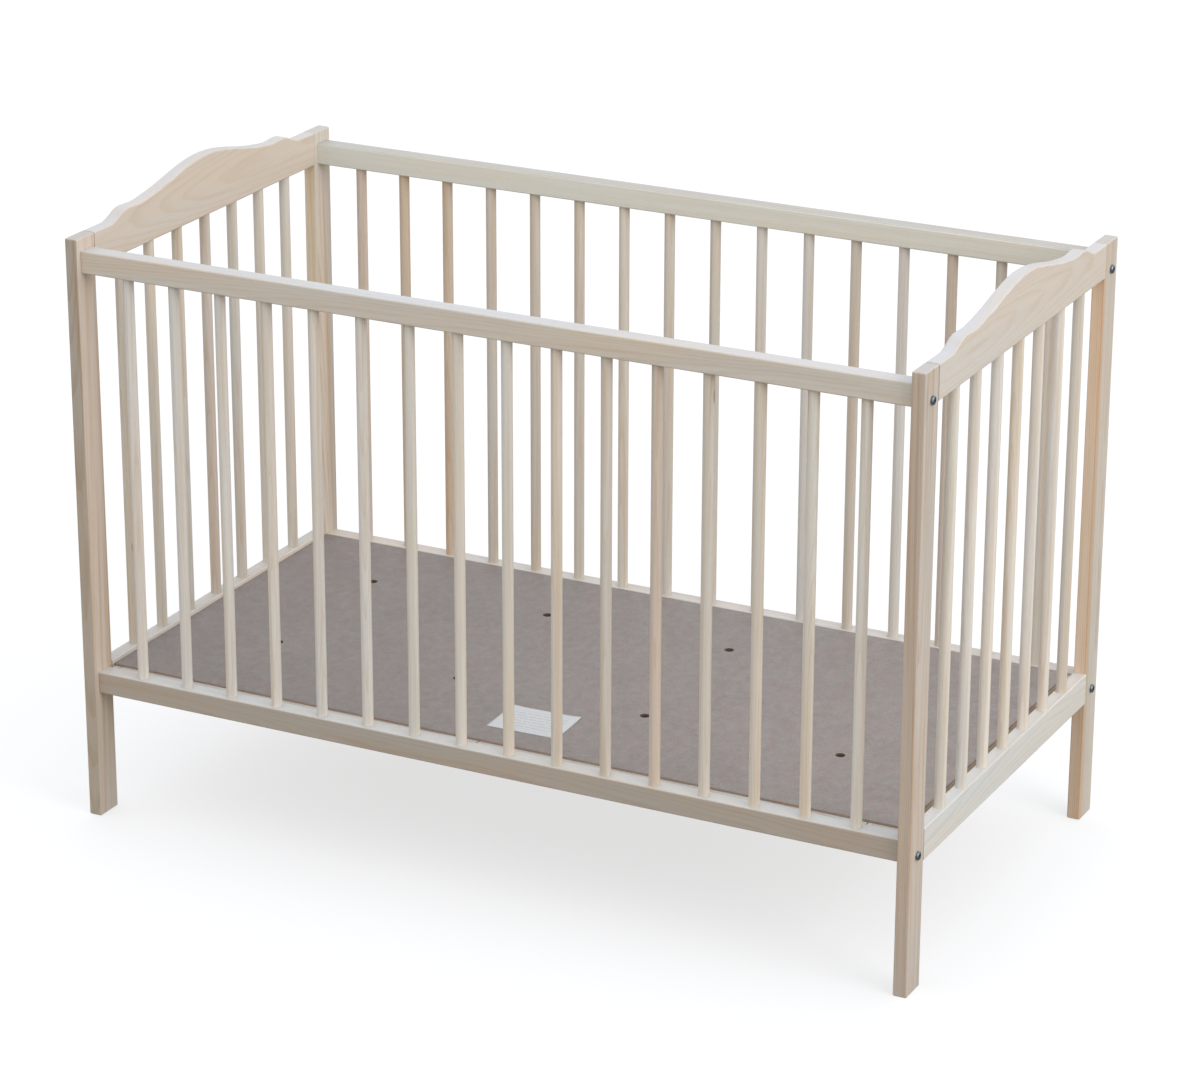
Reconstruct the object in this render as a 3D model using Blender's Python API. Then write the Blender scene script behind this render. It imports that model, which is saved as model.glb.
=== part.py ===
"""A fixed-side wooden baby crib with spindle sides, wavy end boards and a lift-out hardboard base.

Frame: +X along the crib, +Y towards its back, +Z up. The origin is on the floor, under the
crib's centre. Lengths are in metres.
"""
import math

import bmesh
import bpy
from mathutils import Matrix, Vector

# Overall size
LENGTH = 1.240
WIDTH = 0.660
POST_HEIGHT = 0.838

# Corner posts
POST_THICK = 0.019
POST_WIDE = 0.043

# Long rails, set back from the posts' outer edges
RAIL_WIDE = 0.026
RAIL_HIGH = 0.031
RAIL_SETBACK = 0.0085
TOP_RAIL_TOP = 0.8205
BOTTOM_RAIL_TOP = 0.2145

# End boards and end rails, in one plane with the posts
BOARD_BOTTOM = 0.7895
SHOULDER_RISE = 0.013
SHOULDER_OUTER = 0.246
SHOULDER_INNER = 0.202
CREST_RISE = 0.0255
CREST_REACH = 0.178
CREST_STEP = 0.012
SHOULDER_STEPS = 9
DIP_DEPTH = 0.0012
DIP_WIDE = 0.060
END_RAIL_TOP = 0.2205
END_RAIL_HIGH = 0.045

# Spindles
SPINDLE_RADIUS = 0.0075
SPINDLE_SIDES = 12
SPINDLE_SINK = 0.012
SIDE_SPINDLES = 16
SIDE_PITCH = 0.0714
END_SPINDLES = 7
TENON_RADIUS = 0.005

# Lift-out base: a hardboard deck on cross battens, which drop into notched ledgers
DECK_THICK = 0.003
DECK_TOP = 0.2147
DECK_FRONT = -0.2835
DECK_BACK = 0.2945
DECK_LEFT_GAP = 0.0015
DECK_RIGHT_GAP = 0.011
VENT_RADIUS = 0.006
VENT_COLUMNS = 4
VENT_PITCH_X = 0.288
VENT_PITCH_Y = 0.2655
VENT_CENTRE = (-0.006, 0.0215)
LEDGER_WIDE = 0.018
LEDGER_HIGH = 0.024
BATTEN_WIDE = 0.045
BATTEN_THICK = 0.012
BATTEN_PITCH = 0.5645
BATTEN_SLACK = 0.001
END_CLEARANCE = 0.002
BATTENS = 3
LABEL_SIZE = (0.104, 0.079, 0.0003)
LABEL_CENTRE = (0.0155, -0.199)
LABEL_TURN = math.radians(2)

# Fasteners
BOLT_RADIUS = 0.003
BOLT_LENGTH = 0.055
BOLT_HEAD_RADIUS = 0.006
BOLT_HEAD_HIGH = 0.0036
BOLT_BELOW_RAIL_TOP = 0.0225
SOCKET_RADIUS = 0.0023
SOCKET_DEPTH = 0.002
NUT_RADIUS = 0.005
NUT_LENGTH = 0.014
NUT_FROM_POST = 0.030
DOWEL_RADIUS = 0.004
RAIL_DOWEL_BELOW_TOP = 0.0105
RAIL_DOWEL_REACH = 0.010
END_DOWEL_REACH = 0.014
BOARD_DOWEL_HEIGHTS = (0.803, 0.825)
END_RAIL_DOWEL_HEIGHTS = (0.187, 0.209)
FASTENER_SIDES = 8

# Fits
GAP = 0.0003
OVERSHOOT = 0.001
ROOT = 0.004
EDGE_ROUND = 0.002
BOARD_ROUND = 0.0025

# Places worked out from the sizes above
POST_X = LENGTH / 2 - POST_THICK / 2
POST_Y = WIDTH / 2 - POST_WIDE / 2
INNER_X = LENGTH / 2 - POST_THICK
INNER_Y = WIDTH / 2 - POST_WIDE
RAIL_Y = WIDTH / 2 - RAIL_SETBACK - RAIL_WIDE / 2
RAIL_INNER_Y = RAIL_Y - RAIL_WIDE / 2
TOP_RAIL_BOTTOM = TOP_RAIL_TOP - RAIL_HIGH
LEDGER_Y = RAIL_INNER_Y - GAP - LEDGER_WIDE / 2
LEDGER_TOP = DECK_TOP - DECK_THICK - GAP
BATTEN_Z = LEDGER_TOP - BATTEN_THICK / 2
DECK_LEFT = -INNER_X + DECK_LEFT_GAP
DECK_RIGHT = INNER_X - DECK_RIGHT_GAP
SIDES = {"front": -1, "back": 1}
ENDS = {"left": -1, "right": 1}

AXIS_TURNS = {
    "X": Matrix.Rotation(math.pi / 2, 4, "Y"),
    "Y": Matrix.Rotation(-math.pi / 2, 4, "X"),
    "Z": Matrix.Identity(4),
}


def clear_scene():
    for old in list(bpy.data.objects):
        bpy.data.objects.remove(old, do_unlink=True)


# Materials

def make_material(name, colour, roughness, metallic=0.0):
    material = bpy.data.materials.new(name)
    material.use_nodes = True
    shader = material.node_tree.nodes["Principled BSDF"]
    shader.inputs["Base Color"].default_value = (*colour, 1.0)
    shader.inputs["Roughness"].default_value = roughness
    shader.inputs["Metallic"].default_value = metallic
    return material


def make_materials():
    return {
        "wood": make_material("pale_wood", (0.64, 0.53, 0.41), 0.55),
        "spindle": make_material("spindle_wood", (0.60, 0.51, 0.40), 0.55),
        "hidden_wood": make_material("batten_wood", (0.66, 0.55, 0.42), 0.7),
        "hardboard": make_material("hardboard", (0.27, 0.22, 0.19), 0.6),
        "paper": make_material("label_paper", (0.80, 0.80, 0.80), 0.8),
        "bolt": make_material("zinc_steel", (0.18, 0.21, 0.23), 0.35, 1.0),
    }


# Building blocks

def finish_mesh(name, bm, material, smooth=False):
    bmesh.ops.recalc_face_normals(bm, faces=bm.faces)
    mesh = bpy.data.meshes.new(name)
    bm.to_mesh(mesh)
    bm.free()
    mesh.materials.append(material)
    if smooth:
        mesh.shade_smooth()
        mesh.set_sharp_from_angle(angle=math.radians(40))
    return mesh


def finish_object(name, bm, material, parent, location, smooth=False):
    """Turn a bmesh into a placed object with its material."""
    return place_object(name, finish_mesh(name, bm, material, smooth), parent, location)


def place_object(name, mesh, parent, location):
    obj = bpy.data.objects.new(name, mesh)
    obj.location = location
    obj.parent = parent
    bpy.context.scene.collection.objects.link(obj)
    return obj


def make_empty(name):
    empty = bpy.data.objects.new(name, None)
    bpy.context.scene.collection.objects.link(empty)
    return empty


def box(size):
    """A box centred on its own origin."""
    bm = bmesh.new()
    bmesh.ops.create_cube(bm, size=1.0)
    bmesh.ops.scale(bm, vec=size, verts=bm.verts)
    return bm


def round_edges(bm, radius, chosen):
    """Round the edges that chosen(edge) picks, with two segments each."""
    edges = [edge for edge in bm.edges if chosen(edge)]
    bmesh.ops.bevel(bm, geom=edges, offset=radius, segments=2, profile=0.5, affect="EDGES")


def runs_along(axis):
    def chosen(edge):
        run = edge.verts[1].co - edge.verts[0].co
        return abs(run[axis]) > 0.999 * run.length
    return chosen


def add_cylinder(bm, radius, start, end, sides):
    """Add a closed cylinder from start to end, which differ along one axis only."""
    start = Vector(start)
    end = Vector(end)
    run = end - start
    axis = "XYZ"[max(range(3), key=lambda i: abs(run[i]))]
    flip = Matrix.Rotation(math.pi, 4, "X") if sum(run) < 0 else Matrix.Identity(4)
    turn = AXIS_TURNS[axis] @ flip
    half_step = Matrix.Rotation(math.pi / sides, 4, "Z")
    bmesh.ops.create_cone(
        bm,
        cap_ends=True,
        segments=sides,
        radius1=radius,
        radius2=radius,
        depth=run.length,
        matrix=Matrix.Translation((start + end) / 2) @ turn @ half_step,
    )


def turn_profile(profile, sides):
    """A closed solid turned about Z from (radius, z) points that start and end on the axis."""
    bm = bmesh.new()
    verts = [bm.verts.new((radius, 0.0, z)) for radius, z in profile]
    edges = [bm.edges.new(pair) for pair in zip(verts, verts[1:])]
    bmesh.ops.spin(
        bm,
        geom=verts + edges,
        cent=(0.0, 0.0, 0.0),
        axis=(0.0, 0.0, 1.0),
        angle=2 * math.pi,
        steps=sides,
        use_merge=False,
    )
    bmesh.ops.remove_doubles(bm, verts=bm.verts, dist=0.00001)
    return bm


def combine(target, name, operation, add_shapes):
    """Cut from target, or join to it, the shapes that add_shapes(bm) makes in the crib's frame."""
    bm = bmesh.new()
    add_shapes(bm)
    bmesh.ops.recalc_face_normals(bm, faces=bm.faces)
    mesh = bpy.data.meshes.new(name)
    bm.to_mesh(mesh)
    bm.free()
    helper = place_object(name, mesh, None, (0.0, 0.0, 0.0))
    helper.hide_render = True
    helper.display_type = "WIRE"
    boolean = target.modifiers.new(name, "BOOLEAN")
    boolean.operation = operation
    boolean.solver = "EXACT"
    boolean.object = helper


def cut(target, name, add_shapes):
    combine(target, name, "DIFFERENCE", add_shapes)


def join(target, name, add_shapes):
    combine(target, name, "UNION", add_shapes)


def centred(count, pitch):
    """Evenly spaced places, centred on zero."""
    return [(i - (count - 1) / 2) * pitch for i in range(count)]


SIDE_SPINDLE_X = centred(SIDE_SPINDLES, SIDE_PITCH)
END_SPINDLE_Y = centred(END_SPINDLES, 2 * INNER_Y / (END_SPINDLES + 1))
BATTEN_X = centred(BATTENS, BATTEN_PITCH)


# Posts

def make_post(side, end, materials, parent):
    side_sign = SIDES[side]
    end_sign = ENDS[end]
    bm = box((POST_THICK, POST_WIDE, POST_HEIGHT))
    round_edges(bm, EDGE_ROUND, lambda edge: True)
    location = (end_sign * POST_X, side_sign * POST_Y, POST_HEIGHT / 2)
    name = f"{side}_{end}_post"
    post = finish_object(name, bm, materials["wood"], parent, location)

    def bores(bm):
        inside = end_sign * (INNER_X - OVERSHOOT)
        y = side_sign * RAIL_Y
        for rail_top in (TOP_RAIL_TOP, BOTTOM_RAIL_TOP):
            bolt_z = rail_top - BOLT_BELOW_RAIL_TOP
            start = (end_sign * (LENGTH / 2 + OVERSHOOT), y, bolt_z)
            add_cylinder(bm, BOLT_RADIUS + GAP, start, (inside, y, bolt_z), FASTENER_SIDES)
            dowel_z = rail_top - RAIL_DOWEL_BELOW_TOP
            bottom = (end_sign * (INNER_X + RAIL_DOWEL_REACH + GAP), y, dowel_z)
            add_cylinder(bm, DOWEL_RADIUS + GAP, (inside, y, dowel_z), bottom, FASTENER_SIDES)
        for height in BOARD_DOWEL_HEIGHTS + END_RAIL_DOWEL_HEIGHTS:
            start = (end_sign * POST_X, side_sign * (INNER_Y - OVERSHOOT), height)
            bottom = (end_sign * POST_X, side_sign * (INNER_Y + END_DOWEL_REACH + GAP), height)
            add_cylinder(bm, DOWEL_RADIUS + GAP, start, bottom, FASTENER_SIDES)

    cut(post, f"{name}_bores", bores)


# Long rails

def make_long_rail(side, level, materials, parent):
    """A long rail with its spindle sockets, bolt and nut bores, and a dowel glued into each end."""
    top = TOP_RAIL_TOP if level == "top" else BOTTOM_RAIL_TOP
    bottom = top - RAIL_HIGH
    y = SIDES[side] * RAIL_Y
    bm = box((2 * (INNER_X - GAP), RAIL_WIDE, RAIL_HIGH))
    round_edges(bm, EDGE_ROUND, runs_along(0))
    name = f"{side}_{level}_rail"
    rail = finish_object(name, bm, materials["wood"], parent, (0.0, y, (top + bottom) / 2))
    bolt_z = top - BOLT_BELOW_RAIL_TOP

    def bores(bm):
        face = bottom if level == "top" else top
        inwards = 1 if level == "top" else -1
        mouth = face - inwards * OVERSHOOT
        floor = face + inwards * (SPINDLE_SINK + GAP)
        for x in SIDE_SPINDLE_X:
            add_cylinder(bm, SPINDLE_RADIUS + GAP, (x, y, mouth), (x, y, floor), SPINDLE_SIDES)
        for sign in ENDS.values():
            start = (sign * (INNER_X + OVERSHOOT), y, bolt_z)
            tip = (sign * (LENGTH / 2 - BOLT_LENGTH - OVERSHOOT), y, bolt_z)
            add_cylinder(bm, BOLT_RADIUS + GAP, start, tip, FASTENER_SIDES)

    def nut_bores(bm):
        for sign in ENDS.values():
            x = sign * (INNER_X - NUT_FROM_POST)
            start = (x, y, bottom - OVERSHOOT)
            end = (x, y, bolt_z + NUT_LENGTH / 2 + GAP)
            add_cylinder(bm, NUT_RADIUS + GAP, start, end, FASTENER_SIDES)

    def dowels(bm):
        z = top - RAIL_DOWEL_BELOW_TOP
        for sign in ENDS.values():
            start = (sign * (INNER_X - ROOT), y, z)
            end = (sign * (INNER_X + RAIL_DOWEL_REACH), y, z)
            add_cylinder(bm, DOWEL_RADIUS, start, end, FASTENER_SIDES)

    cut(rail, f"{name}_bores", bores)
    cut(rail, f"{name}_nut_bores", nut_bores)
    join(rail, f"{name}_dowels", dowels)


# End boards and end rails

def smooth_step(t):
    t = min(max(t, 0.0), 1.0)
    return t * t * (3 - 2 * t)


def board_top(y):
    """Height of the end board's wavy top edge: a flat start, a small shoulder, a wide crest."""
    reach = abs(y)
    shoulder = smooth_step((SHOULDER_OUTER - reach) / (SHOULDER_OUTER - SHOULDER_INNER))
    dip = 0.0
    crest = 0.0
    if reach < SHOULDER_INNER:
        dip = DIP_DEPTH * math.sin(math.pi * smooth_step((SHOULDER_INNER - reach) / DIP_WIDE))
    if reach < CREST_REACH:
        crest = CREST_RISE * (1 + math.cos(math.pi * reach / CREST_REACH)) / 2
    return POST_HEIGHT + SHOULDER_RISE * shoulder - dip + crest


def board_outline():
    """Outline in Y and Z, with its top edge sampled finely where it bends."""
    half = INNER_Y - GAP
    inner = [i * CREST_STEP for i in range(int(CREST_REACH / CREST_STEP) + 1)]
    outer_step = (SHOULDER_OUTER - CREST_REACH) / SHOULDER_STEPS
    outer = [CREST_REACH + i * outer_step for i in range(1, SHOULDER_STEPS + 1)]
    right = [half] + outer[::-1] + inner[::-1]
    left = [-y for y in reversed(right) if y > 0]
    return [(-half, BOARD_BOTTOM), (half, BOARD_BOTTOM)] + [(y, board_top(y)) for y in right + left]


def make_end_board(end, materials, parent):
    end_sign = ENDS[end]
    bm = bmesh.new()
    verts = [bm.verts.new((-POST_THICK / 2, y, z)) for y, z in board_outline()]
    face = bm.faces.new(verts)
    extruded = bmesh.ops.extrude_face_region(bm, geom=[face])
    moved = [item for item in extruded["geom"] if isinstance(item, bmesh.types.BMVert)]
    bmesh.ops.translate(bm, vec=(POST_THICK, 0.0, 0.0), verts=moved)

    def on_long_edge(edge):
        run = edge.verts[1].co - edge.verts[0].co
        return abs(run.x) < 1e-6 and abs(run.y) > 1e-6

    round_edges(bm, BOARD_ROUND, on_long_edge)
    name = f"{end}_end_board"
    board = finish_object(name, bm, materials["wood"], parent, (end_sign * POST_X, 0.0, 0.0))

    def sockets(bm):
        x = end_sign * POST_X
        mouth = BOARD_BOTTOM - OVERSHOOT
        floor = BOARD_BOTTOM + SPINDLE_SINK + GAP
        for y in END_SPINDLE_Y:
            add_cylinder(bm, TENON_RADIUS + GAP, (x, y, mouth), (x, y, floor), SPINDLE_SIDES)

    cut(board, f"{name}_sockets", sockets)
    join_end_dowels(board, name, end_sign, BOARD_DOWEL_HEIGHTS)


def make_end_rail(end, materials, parent):
    """The bottom rail of an end, with the end's spindles glued into it."""
    end_sign = ENDS[end]
    bm = box((POST_THICK, 2 * (INNER_Y - GAP), END_RAIL_HIGH))
    round_edges(bm, EDGE_ROUND, runs_along(1))
    name = f"{end}_end_rail"
    location = (end_sign * POST_X, 0.0, END_RAIL_TOP - END_RAIL_HIGH / 2)
    rail = finish_object(name, bm, materials["wood"], parent, location, smooth=True)

    def spindles(bm):
        for y in END_SPINDLE_Y:
            spindle = make_end_spindle()
            place = Matrix.Translation((end_sign * POST_X, y, 0.0))
            bmesh.ops.transform(spindle, matrix=place, verts=spindle.verts)
            add_mesh(bm, spindle)

    join(rail, f"{name}_spindles", spindles)
    join_end_dowels(rail, name, end_sign, END_RAIL_DOWEL_HEIGHTS)


def join_end_dowels(member, name, end_sign, heights):
    """Dowels that stand out of both ends of a board or rail, into the posts."""
    x = end_sign * POST_X

    def dowels(bm):
        for sign in SIDES.values():
            for height in heights:
                start = (x, sign * (INNER_Y - ROOT), height)
                end = (x, sign * (INNER_Y + END_DOWEL_REACH), height)
                add_cylinder(bm, DOWEL_RADIUS, start, end, FASTENER_SIDES)

    join(member, f"{name}_dowels", dowels)


# Spindles

def make_end_spindle():
    """A spindle turned down to a thinner tenon at its top, for the thin end board."""
    profile = [
        (0.0, END_RAIL_TOP - ROOT),
        (SPINDLE_RADIUS, END_RAIL_TOP - ROOT),
        (SPINDLE_RADIUS, BOARD_BOTTOM - GAP),
        (TENON_RADIUS, BOARD_BOTTOM - GAP),
        (TENON_RADIUS, BOARD_BOTTOM + SPINDLE_SINK),
        (0.0, BOARD_BOTTOM + SPINDLE_SINK),
    ]
    spindle = turn_profile(profile, SPINDLE_SIDES)
    half_step = Matrix.Rotation(math.pi / SPINDLE_SIDES, 4, "Z")
    bmesh.ops.transform(spindle, matrix=half_step, verts=spindle.verts)
    return spindle


def make_side_spindles(materials, parent):
    """Straight round spindles, glued full width into the long rails."""
    bottom = BOTTOM_RAIL_TOP - SPINDLE_SINK
    top = TOP_RAIL_BOTTOM + SPINDLE_SINK
    half = (top - bottom) / 2
    bm = bmesh.new()
    add_cylinder(bm, SPINDLE_RADIUS, (0.0, 0.0, -half), (0.0, 0.0, half), SPINDLE_SIDES)
    mesh = finish_mesh("side_spindle", bm, materials["spindle"], smooth=True)
    for side, sign in SIDES.items():
        for number, x in enumerate(SIDE_SPINDLE_X, start=1):
            location = (x, sign * RAIL_Y, (bottom + top) / 2)
            place_object(f"{side}_spindle_{number:02d}", mesh, parent, location)


def add_mesh(target, source):
    """Copy one bmesh into another and free the source."""
    scratch = bpy.data.meshes.new("scratch")
    source.to_mesh(scratch)
    source.free()
    target.from_mesh(scratch)
    bpy.data.meshes.remove(scratch)


# Base

def make_ledger(side, materials, parent):
    side_sign = SIDES[side]
    bm = box((2 * (INNER_X - END_CLEARANCE), LEDGER_WIDE, LEDGER_HIGH))
    name = f"{side}_ledger"
    y = side_sign * LEDGER_Y
    z = LEDGER_TOP - LEDGER_HIGH / 2
    ledger = finish_object(name, bm, materials["hidden_wood"], parent, (0.0, y, z))

    def notches(bm):
        depth = BATTEN_THICK + GAP + OVERSHOOT
        middle = LEDGER_TOP + OVERSHOOT - depth / 2
        for x in BATTEN_X:
            notch = box((BATTEN_WIDE + 2 * BATTEN_SLACK, LEDGER_WIDE + 2 * OVERSHOOT, depth))
            bmesh.ops.translate(notch, vec=(x, y, middle), verts=notch.verts)
            add_mesh(bm, notch)

    cut(ledger, f"{name}_notches", notches)


def make_deck(materials, parent):
    bm = box((DECK_RIGHT - DECK_LEFT, DECK_BACK - DECK_FRONT, DECK_THICK))
    middle = ((DECK_LEFT + DECK_RIGHT) / 2, (DECK_FRONT + DECK_BACK) / 2)
    location = (*middle, DECK_TOP - DECK_THICK / 2)
    deck = finish_object("base_hardboard", bm, materials["hardboard"], parent, location)

    def vents(bm):
        for x in centred(VENT_COLUMNS, VENT_PITCH_X):
            for y in centred(2, VENT_PITCH_Y):
                low = (VENT_CENTRE[0] + x, VENT_CENTRE[1] + y, DECK_TOP - DECK_THICK - OVERSHOOT)
                high = (low[0], low[1], DECK_TOP + OVERSHOOT)
                add_cylinder(bm, VENT_RADIUS, low, high, SPINDLE_SIDES)

    cut(deck, "base_hardboard_vents", vents)


def make_battens(materials, parent):
    length = 2 * (RAIL_INNER_Y - END_CLEARANCE)
    for number, x in enumerate(BATTEN_X, start=1):
        bm = box((BATTEN_WIDE, length, BATTEN_THICK))
        location = (x, 0.0, BATTEN_Z)
        finish_object(f"base_batten_{number}", bm, materials["hidden_wood"], parent, location)


def make_label(materials, parent):
    location = (*LABEL_CENTRE, DECK_TOP + GAP + LABEL_SIZE[2] / 2)
    label = finish_object("paper_label", box(LABEL_SIZE), materials["paper"], parent, location)
    label.rotation_euler = (0.0, 0.0, LABEL_TURN)


# Fasteners

def make_bolt_mesh(materials):
    """Domed socket-head bolt along +X, with the underside of its head at x = 0."""
    rim = BOLT_HEAD_HIGH * 0.45
    profile = [
        (0.0, -BOLT_LENGTH),
        (BOLT_RADIUS, -BOLT_LENGTH),
        (BOLT_RADIUS, 0.0),
        (BOLT_HEAD_RADIUS, 0.0),
        (BOLT_HEAD_RADIUS, rim),
        (BOLT_HEAD_RADIUS * 0.72, BOLT_HEAD_HIGH),
        (SOCKET_RADIUS, BOLT_HEAD_HIGH),
        (SOCKET_RADIUS, BOLT_HEAD_HIGH - SOCKET_DEPTH),
        (0.0, BOLT_HEAD_HIGH - SOCKET_DEPTH),
    ]
    bm = turn_profile(profile, SPINDLE_SIDES)
    bmesh.ops.transform(bm, matrix=AXIS_TURNS["X"], verts=bm.verts)
    return finish_mesh("connector_bolt", bm, materials["bolt"], smooth=True)


def make_bolts(materials, parent):
    """One bolt through each post into each long rail, screwed into its barrel nut."""
    mesh = make_bolt_mesh(materials)
    for side, side_sign in SIDES.items():
        for end, end_sign in ENDS.items():
            for level, rail_top in (("top", TOP_RAIL_TOP), ("bottom", BOTTOM_RAIL_TOP)):
                name = f"{side}_{end}_{level}_bolt"
                y = side_sign * RAIL_Y
                z = rail_top - BOLT_BELOW_RAIL_TOP
                bolt = place_object(name, mesh, parent, (end_sign * (LENGTH / 2 + GAP), y, z))
                if end_sign < 0:
                    bolt.rotation_euler = (0.0, 0.0, math.pi)
                nut_x = end_sign * (INNER_X - NUT_FROM_POST)
                low = (nut_x, y, z - NUT_LENGTH / 2)
                high = (nut_x, y, z + NUT_LENGTH / 2)

                def nut(bm, low=low, high=high):
                    add_cylinder(bm, NUT_RADIUS, low, high, FASTENER_SIDES)

                join(bolt, f"{name}_nut", nut)


def main():
    clear_scene()
    materials = make_materials()
    frame = make_empty("crib_frame")
    base = make_empty("base_lift")
    for side in SIDES:
        for end in ENDS:
            make_post(side, end, materials, frame)
        for level in ("top", "bottom"):
            make_long_rail(side, level, materials, frame)
        make_ledger(side, materials, frame)
    for end in ENDS:
        make_end_board(end, materials, frame)
        make_end_rail(end, materials, frame)
    make_side_spindles(materials, frame)
    make_bolts(materials, frame)
    make_deck(materials, base)
    make_battens(materials, base)
    make_label(materials, base)


main()
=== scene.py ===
"""The looks of a pale wooden baby crib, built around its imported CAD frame.

Finer pieces of the same size stand for the CAD nodes, each cut from its own place in the timber.
Lengths are in metres: +X along the crib, +Y towards its back, +Z up, origin on the floor under its
centre.
"""

import math
import random

import bmesh
import bpy
from mathutils import Matrix, Vector, noise


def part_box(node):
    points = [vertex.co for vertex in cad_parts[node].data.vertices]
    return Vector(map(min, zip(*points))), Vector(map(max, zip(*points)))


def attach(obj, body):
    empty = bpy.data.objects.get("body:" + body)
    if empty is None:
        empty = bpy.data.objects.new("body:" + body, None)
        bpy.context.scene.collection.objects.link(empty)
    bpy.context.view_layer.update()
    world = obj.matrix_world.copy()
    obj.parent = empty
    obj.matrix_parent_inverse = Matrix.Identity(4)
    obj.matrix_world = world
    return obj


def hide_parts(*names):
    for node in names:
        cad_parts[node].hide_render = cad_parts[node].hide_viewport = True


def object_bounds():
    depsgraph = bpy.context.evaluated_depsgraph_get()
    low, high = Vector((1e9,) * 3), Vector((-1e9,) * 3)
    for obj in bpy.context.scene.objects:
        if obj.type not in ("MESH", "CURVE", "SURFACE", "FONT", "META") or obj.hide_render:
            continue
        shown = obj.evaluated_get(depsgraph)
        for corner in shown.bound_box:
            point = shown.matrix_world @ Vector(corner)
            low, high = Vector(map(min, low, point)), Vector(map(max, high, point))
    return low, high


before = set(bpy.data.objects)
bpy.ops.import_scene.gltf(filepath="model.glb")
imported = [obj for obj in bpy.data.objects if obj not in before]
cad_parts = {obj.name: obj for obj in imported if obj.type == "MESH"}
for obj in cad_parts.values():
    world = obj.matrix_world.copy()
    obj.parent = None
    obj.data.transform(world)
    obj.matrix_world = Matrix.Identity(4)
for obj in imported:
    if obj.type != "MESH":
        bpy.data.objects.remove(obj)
CAD_BOX = [list(corner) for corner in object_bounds()]

# Sizes that the CAD nodes' boxes don't give
GAP = 0.0003
EDGE_ROUND = 0.002
BOARD_ROUND = 0.0025
SAWN_ROUND = 0.0006
ROUND_STEPS = 4
FINE_SIDES = 32
OVERSHOOT = 0.001
SPINDLE_RADIUS = 0.0075
TENON_RADIUS = 0.005
SPINDLE_SINK = 0.012
END_SPINDLES = 7
SHOULDER_RISE = 0.013
SHOULDER_OUTER = 0.246
SHOULDER_INNER = 0.202
CREST_RISE = 0.0255
CREST_REACH = 0.178
DIP_DEPTH = 0.0012
DIP_WIDE = 0.060
BOARD_STATIONS = 160
VENT_RADIUS = 0.006
VENT_COLUMNS = 4
VENT_ROWS = 2
VENT_PITCH_X = 0.288
VENT_PITCH_Y = 0.2655
VENT_CENTRE = (-0.006, 0.0215)
LABEL_SIZE = (0.104, 0.079)
LABEL_TURN = math.radians(2)
LABEL_THICK = 0.00015
LABEL_CELLS = (26, 20)
LABEL_CURL = 0.0012
LABEL_CURL_START = 0.72
LABEL_NEAR_CURL = 0.5
LABEL_RIPPLE = 0.0002
LABEL_RIPPLES = 3.0
LABEL_ROW_PITCH = 0.0085
LABEL_DASH_SCALE = 170.0
LABEL_PRINTED_HALF = (0.042, 0.030)
BOLT_RADIUS = 0.003
BOLT_HEAD_RADIUS = 0.006
BOLT_HEAD_HIGH = 0.0036
BOLT_RIM_HIGH = 0.40 * BOLT_HEAD_HIGH
BOLT_FLAT_RADIUS = 0.60 * BOLT_HEAD_RADIUS
BOLT_DOME_STEPS = 6
SOCKET_RADIUS = 0.0023
SOCKET_DEPTH = 0.002
SOCKET_SIDES = 6
NUT_RADIUS = 0.005
NUT_LENGTH = 0.014
NUT_FROM_POST = 0.030
NUT_SLOT_WIDE = 0.001
NUT_SLOT_DEEP = 0.0012
NUT_SLOT_ROUND = 0.0001
BATTEN_SLACK = 0.001
CUT_EDGE_STEP = 0.012
CUT_EDGE_WAVE = 0.0006
CUT_EDGE_SLOW_PACE = 0.11
CUT_EDGE_SLOW_SHARE = 0.4
CUT_EDGE_QUICK_PACE = 0.9
CUT_EDGE_QUICK_SHARE = 0.15
VENT_WORN = 0.0008
BURR_LIP = 0.0008
BURR_HANG = 0.0036
BURR_RAGGED = 0.0003
BURR_NOTCHES = 3.0

# The collar's section round a vent: shares of its lip outwards and of its hang downwards
BURR_SECTION = ((0.0, 0.0), (1.0, 0.0), (0.6, 1.0), (0.1, 1.0))

# How much of a direction has to lie along an axis, to count as along it or as facing it
ALONG = 0.9
FACES_END = 0.7

# How a piece sits in its tree, and how its tone strays. Each piece draws its own, by its name.
TRUNK_PLACE = (1, 9)
PITH_REACH = (0.045, 0.085)
GRAIN_LEAN = (-0.02, 0.02)
TONE_STRAYS = (0.985, 1.015)
WARMTH_STRAYS = (-0.006, 0.006)
BOARD_HEART = math.pi / 2
RING_WIDTH = 0.0026

# Shading
SHARP_ANGLE = math.radians(35)
WEAR_START = 0.25

# Camera and stage
CAMERA_AZIMUTH = math.radians(26.97)
CAMERA_ELEVATION = math.radians(20.66)
CAMERA_ROLL = math.radians(0.18)
CAMERA_DISTANCE = 5.651
CAMERA_AIM = (0.0127, 0.0, -0.0343)
CAMERA_LENS = 123.9
SENSOR_WIDTH = 36.0
FLOOR_SIZE = 120.0
FLOOR_GREY = (0.30, 0.30, 0.30, 1.0)
FLOOR_ROUGHNESS = 0.9
FLOOR_GLOW = 0.66
KEY_PLACE = (5.0, -1.2, 2.8)
KEY_AIM = (0.0, 0.0, 0.4)
KEY_SIZE = 3.0
KEY_POWER = 123.0
KEY_COLOUR = (1.0, 0.985, 0.96)

# The sky's colours from straight below, at 0, to straight above, at 1
SKY = (
    (0.0, (0.24, 0.225, 0.20)),
    (0.46, (0.30, 0.285, 0.26)),
    (0.54, (0.92, 0.92, 0.91)),
    (0.75, (0.96, 0.99, 1.05)),
    (1.0, (0.96, 1.02, 1.12)),
)
SKY_STRENGTH = 1.12

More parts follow.
